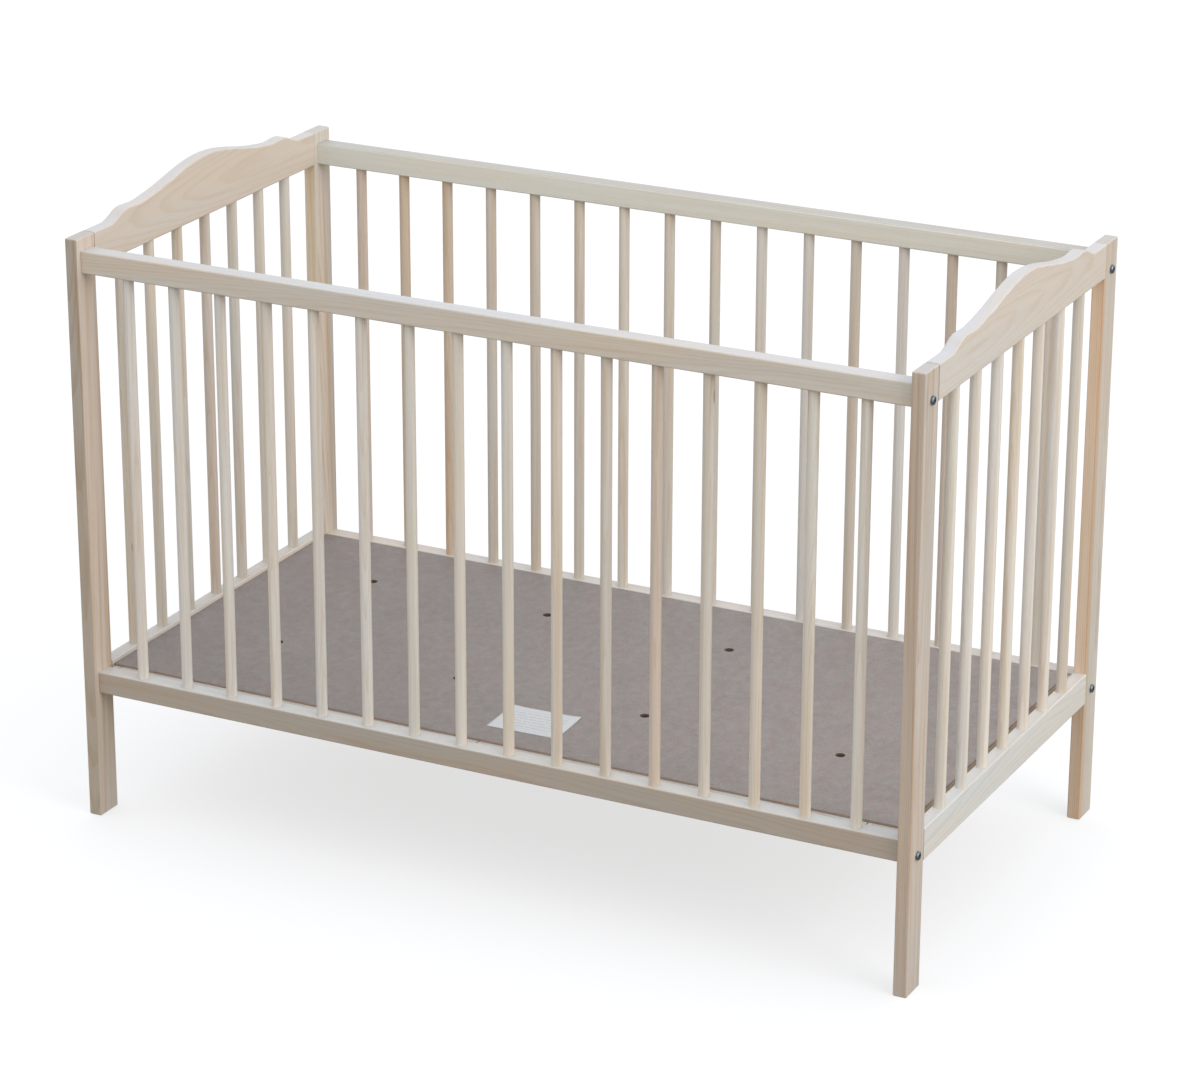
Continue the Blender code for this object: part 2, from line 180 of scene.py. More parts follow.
SIDES = ("front", "back")
ENDS = {"left": -1, "right": 1}
LEVELS = ("top", "bottom")
BATTENS = (1, 2, 3)

# The axes with the one that a piece runs along put first
ORDERS = {"X": (0, 1, 2), "Y": (1, 2, 0), "Z": (2, 0, 1)}

# Timber tones. A piece has one, or one for each of its sides; a side's own tone is painted light
# and shade, set by how light falls on that side. "other" stands for the sides that aren't named.
WHITE_WOOD = (0.765, 0.735, 0.685)
PALE = (0.725, 0.70, 0.65)
CREAM = (0.735, 0.685, 0.60)
SAND = (0.69, 0.64, 0.56)
GREY = (0.645, 0.605, 0.54)
PINK = (0.645, 0.56, 0.48)
TAN = (0.66, 0.545, 0.42)
TONES = {"w": WHITE_WOOD, "p": PALE, "c": CREAM, "s": SAND, "g": GREY, "k": PINK, "t": TAN}

# One letter of TONES for each spindle, from left to right or from front to back
SPINDLE_TONES = {
    "front": "wpppppcccsgksscc",
    "back": "kttggscssppgpkgs",
    "left": "ssgkgss",
    "right": "cpwcwws",
}
# Named sides below are painted light and shade: tops cooler and greyer as a painted sky reflection,
# other sides lighter or darker as light falls on them.
POST_TONES_AND_PAINTED_LIGHT = {
    "front_left": {"-Y": (0.49, 0.42, 0.34), "+X": (0.67, 0.59, 0.51), "other": (0.58, 0.50, 0.42)},
    "front_right": {"-Y": (0.555, 0.475, 0.40), "other": (0.56, 0.51, 0.46)},
    "back_left": {"-Y": (0.75, 0.64, 0.48), "other": (0.675, 0.61, 0.53)},
    "back_right": {"-Y": (0.79, 0.61, 0.45), "other": (0.62, 0.57, 0.50)},
}
RAIL_TONES_AND_PAINTED_LIGHT = {
    "front_top": {"+Z": (0.605, 0.59, 0.57), "other": (0.675, 0.61, 0.52)},
    "front_bottom": {"+Z": (0.585, 0.58, 0.55), "other": (0.465, 0.40, 0.33)},
    "back_top": {"+Z": (0.50, 0.485, 0.445), "other": (0.75, 0.75, 0.68)},
    "back_bottom": (0.63, 0.59, 0.54),
}
BOARD_TONES_AND_PAINTED_LIGHT = {
    "left": {"+Z": (0.59, 0.575, 0.56), "other": (0.64, 0.565, 0.48)},
    "right": {"+Z": (0.60, 0.585, 0.575), "other": (0.65, 0.60, 0.535)},
}
END_RAIL_TONES_AND_PAINTED_LIGHT = {
    "left": {"+Z": (0.55, 0.545, 0.52), "+X": (0.78, 0.73, 0.67), "other": (0.67, 0.67, 0.64)},
    "right": {"+Z": (0.62, 0.605, 0.57), "other": (0.67, 0.67, 0.64)},
}
LEDGER_TONE = (0.60, 0.585, 0.55)
# The battens' +X faces are painted lighter and warmer: painted bounce light in the shaded gap at the
# sheet's right end.
BATTEN_TONE_AND_PAINTED_LIGHT = {"+X": (0.80, 0.67, 0.51), "other": (0.60, 0.58, 0.54)}

# What the tones are multiplied by in late wood, stains, and warmer or cooler patches
LATE_WOOD = (0.80, 0.66, 0.52, 1.0)
LATE_END_GRAIN = (0.80, 0.72, 0.62, 1.0)
LATE_SAWN = (0.74, 0.62, 0.48, 1.0)
STAIN = (0.90, 0.74, 0.58, 1.0)
WARMER = (1.03, 0.985, 0.94, 1.0)
COOLER = (0.975, 1.0, 1.03, 1.0)

# Other colours of the timber
KNOT_BROWN = (0.30, 0.19, 0.11, 1.0)
WORN_WOOD = (0.52, 0.41, 0.30, 1.0)
END_GREY = (0.55, 0.545, 0.54, 1.0)

# The hardboard's browns: its face, its rough back, and where it is sawn and drilled.
# The face's colour is scaled at its left and right ends by painted shade, darker to the left.
FACE_WARM = (0.279, 0.217, 0.194, 1.0)
FACE_COOL = (0.242, 0.227, 0.208, 1.0)
FACE_HAIR = (0.16, 0.11, 0.09, 1.0)
FACE_PAINTED_SHADE = (0.90, 1.05)
BACK_DARK = (0.15, 0.095, 0.065, 1.0)
BACK_LIGHT = (0.27, 0.19, 0.14, 1.0)
SCREEN_PITCH = 0.0022
CUT_DARK = (0.27, 0.185, 0.145, 1.0)
CUT_LIGHT = (0.46, 0.345, 0.275, 1.0)
# The drilled browns are far darker than the sawn ones: painted shade in the vents and their collars.
DRILLED_PAINTED_SHADE_DARK = (0.075, 0.046, 0.03, 1.0)
DRILLED_PAINTED_SHADE_LIGHT = (0.15, 0.095, 0.063, 1.0)

# The order of the hardboard's materials, after its face
BACK_INDEX = 1
CUT_INDEX = 2
DRILLED_INDEX = 3

# Paper and zinc plate
PAPER_DARK = (0.565, 0.567, 0.56, 1.0)
PAPER_LIGHT = (0.63, 0.63, 0.617, 1.0)
INK = (0.34, 0.35, 0.37, 1.0)
ZINC = (0.20, 0.27, 0.32, 1.0)
ZINC_DULL = (0.12, 0.14, 0.15, 1.0)
ZINC_WORN = (0.42, 0.47, 0.50, 1.0)

# Places taken from the frame
POST_LOW, POST_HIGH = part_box("front_right_post")
INNER_X = POST_LOW.x
OUTER_X = POST_HIGH.x
POST_TOP = POST_HIGH.z
INNER_Y = -POST_HIGH.y


# Shapes

def to_mesh_object(name, bm):
    mesh = bpy.data.meshes.new(name)
    bm.to_mesh(mesh)
    bm.free()
    obj = bpy.data.objects.new(name, mesh)
    bpy.context.scene.collection.objects.link(obj)
    return obj


def rounded_box(low, high, radius, along=None):
    """A box with its edges rounded, or only those that run along one axis."""
    low = Vector(low)
    high = Vector(high)
    bm = bmesh.new()
    bmesh.ops.create_cube(bm, size=1.0)
    bmesh.ops.scale(bm, vec=high - low, verts=bm.verts)
    bmesh.ops.translate(bm, vec=(low + high) / 2, verts=bm.verts)
    edges = []
    for edge in bm.edges:
        run = edge.verts[1].co - edge.verts[0].co
        if along is None or abs(run[along]) > ALONG * run.length:
            edges.append(edge)
    bmesh.ops.bevel(
        bm, geom=edges, offset=radius, segments=ROUND_STEPS, profile=0.5, affect="EDGES"
    )
    return bm


def turned(profile, sides=FINE_SIDES):
    """A closed solid turned about Z from (radius, z) points that start and end on the axis."""
    bm = bmesh.new()
    rings = []
    for radius, z in profile:
        if radius == 0.0:
            rings.append([bm.verts.new((0.0, 0.0, z))])
            continue
        angles = [2 * math.pi * (i + 0.5) / sides for i in range(sides)]
        rings.append([bm.verts.new((radius * math.cos(a), radius * math.sin(a), z)) for a in angles])
    for lower, upper in zip(rings, rings[1:]):
        for i in range(sides):
            j = (i + 1) % sides
            corners = [lower[i % len(lower)], lower[j % len(lower)]]
            corners += [upper[j % len(upper)], upper[i % len(upper)]]
            bm.faces.new(list(dict.fromkeys(corners)))
    bmesh.ops.recalc_face_normals(bm, faces=bm.faces)
    return bm


def rod(radius, low, high, sides=FINE_SIDES):
    return turned([(0.0, low), (radius, low), (radius, high), (0.0, high)], sides)


def placed(bm, place, turn=Matrix.Identity(4)):
    bmesh.ops.transform(bm, matrix=Matrix.Translation(place) @ turn, verts=bm.verts)
    return bm


def gathered(shapes):
    """Several closed shapes as one cutter."""
    whole = bmesh.new()
    for bm in shapes:
        scratch = bpy.data.meshes.new("scratch")
        bm.to_mesh(scratch)
        bm.free()
        whole.from_mesh(scratch)
        bpy.data.meshes.remove(scratch)
    return whole


def carved(bm, shapes):
    """The solid with the shapes cut out of it."""
    solid = to_mesh_object("solid", bm)
    cutter = to_mesh_object("cutter", gathered(shapes))
    boolean = solid.modifiers.new("cut", "BOOLEAN")
    boolean.operation = "DIFFERENCE"
    boolean.solver = "EXACT"
    boolean.object = cutter
    graph = bpy.context.evaluated_depsgraph_get()
    mesh = bpy.data.meshes.new_from_object(solid.evaluated_get(graph))
    result = bmesh.new()
    result.from_mesh(mesh)
    bpy.data.meshes.remove(mesh)
    for obj in (solid, cutter):
        bpy.data.objects.remove(obj, do_unlink=True)
    return result


def along_x(sign):
    """Turns a shape's Z axis to +X or -X."""
    return Matrix.Rotation(sign * math.pi / 2, 4, "Y")


def centred(count, pitch):
    return [(i - (count - 1) / 2) * pitch for i in range(count)]


# Pieces

def mesh_box(mesh):
    points = [vertex.co for vertex in mesh.vertices]
    return [Vector([f(point[i] for point in points) for i in range(3)]) for f in (min, max)]


def mark_grain(mesh, run, draw, heart):
    """Writes each point's place in its tree as "grain": X along the trunk, the pith at Y = Z = 0.

    heart is the way from the pith to the piece, in radians, or None for any way.
    """
    order = ORDERS[run]
    low, high = mesh_box(mesh)
    middle = (low + high) / 2
    way = draw.uniform(0, 2 * math.pi) if heart is None else heart
    reach = draw.uniform(*PITH_REACH)
    trunk_place = draw.uniform(*TRUNK_PLACE)
    start = Vector((trunk_place, reach * math.cos(way), reach * math.sin(way)))
    lean = Matrix.Rotation(draw.uniform(*GRAIN_LEAN), 3, "Z")
    tip = Matrix.Rotation(draw.uniform(*GRAIN_LEAN), 3, "Y")
    values = []
    for vertex in mesh.vertices:
        place = vertex.co - middle
        values.extend(lean @ tip @ Vector([place[i] for i in order]) + start)
    mesh.attributes.new("grain", "FLOAT_VECTOR", "POINT").data.foreach_set("vector", values)


def mark_edges(mesh):
    """Writes how far each face leans out of the flats as "edge", for the wear on rounded edges."""
    values = []
    for polygon in mesh.polygons:
        second = sorted(abs(part) for part in polygon.normal)[1]
        lean = math.sqrt(2) * second
        values.append(min(max((lean - WEAR_START) / (1 - WEAR_START), 0.0), 1.0))
    mesh.attributes.new("edge", "FLOAT", "FACE").data.foreach_set("value", values)


def mark_tones_and_painted_light(mesh, tone, draw):
    """Writes each face's base colour as "tone", with painted light and shade on the sides that the
    tone names.
    """
    tones = tone if isinstance(tone, dict) else {"other": tone}
    shift = draw.uniform(*TONE_STRAYS)
    warmth = draw.uniform(*WARMTH_STRAYS)
    values = []
    for polygon in mesh.polygons:
        # A named side takes its own colour: painted light and shade for that side.
        axis = max(range(3), key=lambda i: abs(polygon.normal[i]))
        facing = ("+" if polygon.normal[axis] > 0 else "-") + "XYZ"[axis]
        red, green, blue = tones.get(facing, tones["other"])
        values.extend((red * (shift + warmth), green * shift, blue * (shift - warmth), 1.0))
    mesh.attributes.new("tone", "FLOAT_COLOR", "FACE").data.foreach_set("color", values)


def make_piece(name, bm, looks, body, nodes, run="X", tone=CREAM, heart=None):
    """A finished piece. looks holds the material of its long faces, then that of its end grain."""
    draw = random.Random(name)
    bmesh.ops.recalc_face_normals(bm, faces=bm.faces)
    obj = to_mesh_object(name, bm)
    mesh = obj.data
    mark_grain(mesh, run, draw, heart)
    mark_edges(mesh)
    mark_tones_and_painted_light(mesh, tone, draw)
    for look in looks:
        mesh.materials.append(look)
    if len(looks) > 1:
        axis = ORDERS[run][0]
        for polygon in mesh.polygons:
            polygon.material_index = int(abs(polygon.normal[axis]) > FACES_END)
    mesh.shade_smooth()
    mesh.set_sharp_from_angle(angle=SHARP_ANGLE)
    weighted = obj.modifiers.new("flats_stay_flat", "WEIGHTED_NORMAL")
    weighted.keep_sharp = True
    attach(obj, body)
    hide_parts(*nodes)
    return obj


# Materials

class Graph:
    """A material's node tree, with one short call for each kind of node."""

    def __init__(self, name):
        self.material = bpy.data.materials.new(name)
        self.material.use_nodes = True
        self.tree = self.material.node_tree
        self.shader = self.tree.nodes["Principled BSDF"]

    def node(self, kind, values, **settings):
        made = self.tree.nodes.new(kind)
        for key, value in settings.items():
            setattr(made, key, value)
        for socket, value in values.items():
            self.give(made.inputs[socket], value)
        return made

    def give(self, socket, value):
        if isinstance(value, bpy.types.NodeSocket):
            self.tree.links.new(value, socket)
        else:
            socket.default_value = value

    def attribute(self, name, output):
        return self.node("ShaderNodeAttribute", {}, attribute_name=name).outputs[output]

    def math(self, operation, first, second=0.0):
        return self.node("ShaderNodeMath", {0: first, 1: second}, operation=operation).outputs[0]

    def vector(self, operation, first, second):
        return self.node("ShaderNodeVectorMath", {0: first, 1: second}, operation=operation)

    def stretched(self, vector, scale):
        return self.vector("MULTIPLY", vector, scale).outputs[0]

    def noise(self, vector, scale, detail=2.0):
        """Noise from 0 to 1 of the vector, stretched by scale."""
        values = {"Vector": self.stretched(vector, scale), "Scale": 1.0, "Detail": detail}
        return self.node("ShaderNodeTexNoise", values).outputs[0]

    def ramp(self, value, low, high, to_low=0.0, to_high=1.0):
        """The value, smoothly taken from low..high to to_low..to_high."""
        values = {0: value, 1: low, 2: high, 3: to_low, 4: to_high}
        made = self.node("ShaderNodeMapRange", values, interpolation_type="SMOOTHSTEP")
        return made.outputs[0]

    def mix(self, factor, first, second, blend="MIX"):
        values = {0: factor, 6: first, 7: second}
        made = self.node("ShaderNodeMix", values, data_type="RGBA", blend_type=blend)
        return made.outputs[2]

    def total(self, *terms):
        """The sum of value times weight over the terms."""
        whole = 0.0
        for value, weight in terms:
            whole = self.math("ADD", whole, self.math("MULTIPLY", value, weight))
        return whole

    def finish(self, colour, roughness, height, depth, strength):
        self.give(self.shader.inputs["Base Color"], colour)
        self.give(self.shader.inputs["Roughness"], roughness)
        values = {"Strength": strength, "Distance": depth, "Height": height}
        bump = self.node("ShaderNodeBump", values).outputs[0]
        self.give(self.shader.inputs["Normal"], bump)
        return self.material


def growth_rings(g, grain):
    """0 in the pale early wood, rising to 1 in each ring's thin late line."""
    drift = g.math("SUBTRACT", g.noise(grain, (1.6, 8.0, 8.0), 1.0), 0.5)
    ripple = g.math("SUBTRACT", g.noise(grain, (9.0, 60.0, 60.0), 2.0), 0.5)
    from_pith = g.stretched(grain, (0.0, 1.0, 1.0))
    radius = g.vector("LENGTH", from_pith, (0.0, 0.0, 0.0)).outputs["Value"]
    place = g.total((radius, 1 / RING_WIDTH), (drift, 9.0), (ripple, 0.9))
    part = g.math("FRACT", place)
    return g.math("MULTIPLY", g.ramp(part, 0.35, 0.93), g.ramp(part, 1.0, 0.94))


def pin_knots(g, grain):
    """Small brown knots, in a few of the cells that the timber is divided into."""
    values = {"Vector": g.stretched(grain, (7.0, 24.0, 24.0)), "Scale": 1.0}
    cells = g.node("ShaderNodeTexVoronoi", values)
    lot = g.node("ShaderNodeSeparateColor", {0: cells.outputs["Color"]}).outputs[0]
    spot = g.ramp(cells.outputs["Distance"], 0.085, 0.05)
    return g.math("MULTIPLY", spot, g.ramp(lot, 0.80, 0.84))


def wood_look(name, rings, fibres, stains, roughness, knots):
    """Pale, bare, sanded wood. rings, fibres, stains and knots say how strongly each shows."""
    g = Graph(name)
    grain = g.attribute("grain", "Vector")
    tone = g.attribute("tone", "Color")
    ring = growth_rings(g, grain)
    fibre = g.noise(grain, (14.0, 700.0, 700.0), 3.0)
    streak = g.noise(grain, (3.0, 120.0, 120.0), 2.0)
    cloud = g.noise(grain, (2.5, 22.0, 22.0), 2.0)
    pore = g.ramp(g.noise(grain, (120.0, 2400.0, 2400.0), 0.0), 0.66, 0.74)
    dark = g.total((ring, rings), (fibre, fibres), (streak, fibres), (pore, 0.10))
    late = g.mix(1.0, tone, LATE_WOOD, "MULTIPLY")
    plain = fibres * 0.7
    colour = g.mix(g.ramp(dark, plain, plain + 1.0), tone, late)
    hue = g.mix(g.ramp(cloud, 0.3, 0.7), WARMER, COOLER)
    colour = g.mix(1.0, colour, hue, "MULTIPLY")
    stain = g.ramp(g.noise(grain, (1.1, 95.0, 95.0), 2.0), 0.50, 0.68)
    stained = g.mix(1.0, colour, STAIN, "MULTIPLY")
    colour = g.mix(g.math("MULTIPLY", stain, stains), colour, stained)
    colour = g.mix(g.math("MULTIPLY", pin_knots(g, grain), knots), colour, KNOT_BROWN)
    worn = g.math("MULTIPLY", g.attribute("edge", "Fac"), g.ramp(streak, 0.35, 0.6))
    colour = g.mix(g.math("MULTIPLY", worn, 0.35), colour, WORN_WOOD)
    rough = g.total((fibre, 0.16), (worn, -0.10), (1.0, roughness - 0.08))
    height = g.total((fibre, 0.6), (ring, -0.3), (pore, -0.8))
    return g.finish(colour, rough, height, 0.0002, 0.5)


def end_grain_look(name):
    """The sawn ends: darker, with the rings seen whole and open pores."""
    g = Graph(name)
    grain = g.attribute("grain", "Vector")
    tone = g.attribute("tone", "Color")
    ring = growth_rings(g, grain)
    pore = g.ramp(g.noise(grain, (40.0, 2200.0, 2200.0), 0.0), 0.58, 0.70)
    saw = g.noise(grain, (900.0, 90.0, 1400.0), 2.0)
    dark = g.total((ring, 0.55), (pore, 0.35), (saw, 0.25))
    face = g.mix(0.6, tone, END_GREY)
    late = g.mix(1.0, face, LATE_END_GRAIN, "MULTIPLY")
    colour = g.mix(g.ramp(dark, 0.0, 1.1), face, late)
    rough = g.total((saw, 0.2), (1.0, 0.7))
    height = g.total((pore, -0.8), (saw, 0.6))
    return g.finish(colour, rough, height, 0.0003, 0.6)


def sawn_look(name):
    """Planed but unsanded strips, which hardly show: coarser fibres and saw lines across."""
    g = Graph(name)
    grain = g.attribute("grain", "Vector")
    tone = g.attribute("tone", "Color")
    ring = growth_rings(g, grain)
    fibre = g.noise(grain, (10.0, 380.0, 380.0), 4.0)
    saw = g.noise(grain, (420.0, 12.0, 12.0), 1.0)
    dark = g.total((ring, 0.45), (fibre, 0.7), (saw, 0.25))
    late = g.mix(1.0, tone, LATE_SAWN, "MULTIPLY")
    colour = g.mix(g.ramp(dark, 0.3, 1.3), tone, late)
    rough = g.total((fibre, 0.2), (1.0, 0.66))
    height = g.total((fibre, 0.7), (saw, 0.5))
    return g.finish(colour, rough, height, 0.0004, 0.6)


def hardboard_face_look(name):
    """The smooth pressed face: taupe, mottled with pulp fibres, with painted shade darker to the
    left.
    """
    g = Graph(name)
    place = g.attribute("grain", "Vector")
    cloud = g.noise(place, (9.0, 9.0, 9.0), 2.0)
    patch = g.noise(place, (70.0, 55.0, 60.0), 2.0)
    mottle = g.noise(place, (190.0, 150.0, 170.0), 2.0)
    fleck = g.noise(place, (640.0, 420.0, 500.0), 3.0)
    hair = g.ramp(g.noise(place, (1500.0, 260.0, 400.0), 1.0), 0.62, 0.72)
    colour = g.mix(g.ramp(mottle, 0.38, 0.62), FACE_WARM, FACE_COOL)
    shade = g.total((cloud, 0.14), (patch, 0.36), (mottle, 0.40), (fleck, 0.60), (1.0, 0.25))
    # Painted shade: the face darkens from its right end to its left end.
    spot = g.node("ShaderNodeTexCoord", {}).outputs["Object"]
    along = g.node("ShaderNodeSeparateXYZ", {0: spot}).outputs[0]
    shade = g.math("MULTIPLY", shade, g.ramp(along, -INNER_X, INNER_X, *FACE_PAINTED_SHADE))
    grey = g.node("ShaderNodeCombineColor", {0: shade, 1: shade, 2: shade}).outputs[0]
    colour = g.mix(1.0, colour, grey, "MULTIPLY")
    colour = g.mix(g.math("MULTIPLY", hair, 0.35), colour, FACE_HAIR)
    rough = g.total((mottle, 0.15), (fleck, 0.1), (1.0, 0.46))
    height = g.total((mottle, 0.4), (fleck, 0.5), (hair, -0.4))
    return g.finish(colour, rough, height, 0.0002, 0.35)


def hardboard_cut_look(name, dark, light):
    """Sawn or drilled edges: torn pulp, between two browns; the drilled browns are painted shade."""
    g = Graph(name)
    place = g.attribute("grain", "Vector")
    pulp = g.noise(place, (700.0, 700.0, 2600.0), 3.0)
    colour = g.mix(g.ramp(pulp, 0.3, 0.7), dark, light)
    rough = g.total((pulp, 0.1), (1.0, 0.82))
    return g.finish(colour, rough, pulp, 0.0004, 0.7)


def hardboard_back_look(name):
    """The rough face below: brown, with the mesh print of the press screen."""
    g = Graph(name)
    place = g.attribute("grain", "Vector")
    across = g.vector("DOT_PRODUCT", place, (1.0, 0.0, 0.0)).outputs["Value"]
    deep = g.vector("DOT_PRODUCT", place, (0.0, 1.0, 0.0)).outputs["Value"]
    turns = 2 * math.pi / SCREEN_PITCH
    weft = g.math("SINE", g.math("MULTIPLY", across, turns))
    warp = g.math("SINE", g.math("MULTIPLY", deep, turns))
    screen = g.math("MULTIPLY", weft, warp)
    pulp = g.noise(place, (260.0, 260.0, 260.0), 4.0)
    blend = g.total((screen, 0.25), (pulp, 0.8))
    colour = g.mix(g.ramp(blend, 0.1, 0.8), BACK_DARK, BACK_LIGHT)
    rough = g.total((pulp, 0.1), (1.0, 0.8))
    return g.finish(colour, rough, blend, 0.0006, 0.8)


def paper_look(name):
    """White paper with rows of faint grey dashes, which say nothing."""
    g = Graph(name)
    place = g.attribute("grain", "Vector")
    parts = g.node("ShaderNodeSeparateXYZ", {0: place})
    along = parts.outputs[0]
    across = parts.outputs[1]
    row = g.math("MULTIPLY", across, 1 / LABEL_ROW_PITCH)
    line = g.math("FRACT", row)
    in_line = g.math("MULTIPLY", g.ramp(line, 0.30, 0.36), g.ramp(line, 0.66, 0.60))
    number = g.math("FLOOR", row)
    step = g.math("MULTIPLY", along, LABEL_DASH_SCALE)
    cell = g.node("ShaderNodeCombineXYZ", {0: step, 1: number})
    dash = g.node("ShaderNodeTexNoise", {"Vector": cell.outputs[0], "Scale": 1.0, "Detail": 1.0})
    in_dash = g.ramp(dash.outputs[0], 0.42, 0.47)
    half_x, half_y = LABEL_PRINTED_HALF
    inside_x = g.ramp(g.math("ABSOLUTE", along), half_x, half_x - 0.002)
    inside_y = g.ramp(g.math("ABSOLUTE", across), half_y, half_y - 0.001)
    ink = g.math("MULTIPLY", in_line, in_dash)
    ink = g.math("MULTIPLY", ink, g.math("MULTIPLY", inside_x, inside_y))
    pulp = g.noise(place, (900.0, 900.0, 900.0), 3.0)
    sheet = g.mix(pulp, PAPER_DARK, PAPER_LIGHT)
    colour = g.mix(g.math("MULTIPLY", ink, 0.45), sheet, INK)
    rough = g.total((pulp, 0.1), (1.0, 0.62))
    return g.finish(colour, rough, pulp, 0.0001, 0.3)


def steel_look(name):
    """Blue-grey zinc plate, darker and duller in patches."""
    g = Graph(name)
    place = g.attribute("grain", "Vector")
    patch = g.noise(place, (500.0, 500.0, 500.0), 3.0)
    scratch = g.noise(place, (300.0, 5000.0, 5000.0), 2.0)
    plate = g.mix(g.ramp(patch, 0.35, 0.7), ZINC, ZINC_DULL)
    worn = g.math("MULTIPLY", g.attribute("edge", "Fac"), g.ramp(scratch, 0.4, 0.6))
    colour = g.mix(g.math("MULTIPLY", worn, 0.5), plate, ZINC_WORN)
    rough = g.total((patch, 0.25), (scratch, 0.15), (1.0, 0.18))
    g.shader.inputs["Metallic"].default_value = 1.0
    return g.finish(colour, rough, scratch, 0.00005, 0.3)


def make_looks():
    """Each kind of piece's materials: that of its long faces, then that of its ends."""
    ends = end_grain_look("wood_end_grain")
    posts = wood_look("wood_posts", rings=0.30, fibres=0.60, stains=0.75, roughness=0.50, knots=0.8)
    rails = wood_look("wood_rails", rings=0.22, fibres=0.40, stains=0.15, roughness=0.48, knots=0.0)
    boards = wood_look(
        "wood_end_boards", rings=0.23, fibres=0.28, stains=0.10, roughness=0.48, knots=0.0
    )
    spindles = wood_look(
        "wood_spindles", rings=0.26, fibres=0.40, stains=0.35, roughness=0.46, knots=0.7
    )
    hardboard = [
        hardboard_face_look("hardboard_face"),
        hardboard_back_look("hardboard_back"),
        hardboard_cut_look("hardboard_cut_edge", CUT_DARK, CUT_LIGHT),
        hardboard_cut_look("hardboard_drilled_painted_shade", DRILLED_PAINTED_SHADE_DARK, DRILLED_PAINTED_SHADE_LIGHT),
    ]
    return {
        "post": [posts, ends],
        "rail": [rails, ends],
        "board": [boards, ends],
        "spindle": [spindles, ends],
        "sawn": [sawn_look("wood_sawn"), ends],
        "hardboard": hardboard,
        "paper": [paper_look("label_paper")],
        "steel": [steel_look("zinc_steel")],
    }


# Posts

def bolt_axis(side, end, level):
    """Where a bolt's axis meets the outside of its post."""
    low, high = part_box(f"{side}_{end}_{level}_bolt")
    return Vector((ENDS[end] * OUTER_X, (low.y + high.y) / 2, (low.z + high.z) / 2))


def bolt_bore(side, end, level):
    """The clear hole for a bolt, from outside the post to past its tip."""
    low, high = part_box(f"{side}_{end}_{level}_bolt")
    length = high.x - low.x
    return placed(
        rod(BOLT_RADIUS + GAP, -length, OVERSHOOT), bolt_axis(side, end, level), along_x(ENDS[end])
    )


def make_post(side, end, looks):
    node = f"{side}_{end}_post"
    low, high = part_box(node)
    bm = rounded_box(low, high, EDGE_ROUND)
    bm = carved(bm, [bolt_bore(side, end, level) for level in LEVELS])
    tone = POST_TONES_AND_PAINTED_LIGHT[f"{side}_{end}"]
    make_piece(f"{node}_wood", bm, looks["post"], "frame", [node], "Z", tone)


# Long sides

def spindle_names(side):
    return [f"{side}_spindle_{number:02d}" for number in range(1, len(SPINDLE_TONES[side]) + 1)]


def axis_of(node):
    low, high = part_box(node)
    return (low.x + high.x) / 2, (low.y + high.y) / 2


def make_long_rail(side, level, looks):
    """A rail with its spindle sockets, its bolt bores and, from below, its barrel nut bores."""
    node = f"{side}_{level}_rail"
    low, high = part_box(node)
    half = INNER_X - GAP
    bm = rounded_box((-half, low.y, low.z), (half, high.y, high.z), EDGE_ROUND, along=0)
    holes = []
    for name in spindle_names(side):
        x, y = axis_of(name)
        spindle_low, spindle_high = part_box(name)
        if level == "top":
            mouth = low.z - OVERSHOOT
            floor = spindle_high.z + GAP
        else:
            mouth = spindle_low.z - GAP
            floor = high.z + OVERSHOOT
        holes.append(placed(rod(SPINDLE_RADIUS + GAP / 2, mouth, floor), (x, y, 0.0)))
    for end, sign in ENDS.items():
        holes.append(bolt_bore(side, end, level))
        axis = bolt_axis(side, end, level)
        nut_x = sign * (INNER_X - NUT_FROM_POST)
        top = axis.z + NUT_LENGTH / 2 + GAP
        holes.append(placed(rod(NUT_RADIUS + GAP, low.z - OVERSHOOT, top), (nut_x, axis.y, 0.0)))
    bm = carved(bm, holes)
    tone = RAIL_TONES_AND_PAINTED_LIGHT[f"{side}_{level}"]
    make_piece(f"{node}_wood", bm, looks["rail"], "frame", [node], "X", tone)


def make_side_spindles(side, looks):
    for node, tone in zip(spindle_names(side), SPINDLE_TONES[side]):
        low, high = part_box(node)
        x, y = axis_of(node)
        profile = [
            (0.0, low.z),
            (SPINDLE_RADIUS - SAWN_ROUND, low.z),
            (SPINDLE_RADIUS, low.z + SAWN_ROUND),
            (SPINDLE_RADIUS, high.z - SAWN_ROUND),
            (SPINDLE_RADIUS - SAWN_ROUND, high.z),
            (0.0, high.z),
        ]
        bm = placed(turned(profile), (x, y, 0.0))
        name = f"{node}_wood"
        make_piece(name, bm, looks["spindle"], "frame", [node], "Z", TONES[tone])


# Ends

def smooth_step(t):
    t = min(max(t, 0.0), 1.0)
    return t * t * (3 - 2 * t)


def board_top(y):
    """Height of the end board's wavy top edge: a flat start, a small shoulder, a wide crest."""
    reach = abs(y)
    shoulder = smooth_step((SHOULDER_OUTER - reach) / (SHOULDER_OUTER - SHOULDER_INNER))
    dip = 0.0
    crest = 0.0
    if reach < SHOULDER_INNER:
        dip = DIP_DEPTH * math.sin(math.pi * smooth_step((SHOULDER_INNER - reach) / DIP_WIDE))
    if reach < CREST_REACH:
        crest = CREST_RISE * (1 + math.cos(math.pi * reach / CREST_REACH)) / 2
    return POST_TOP + SHOULDER_RISE * shoulder - dip + crest


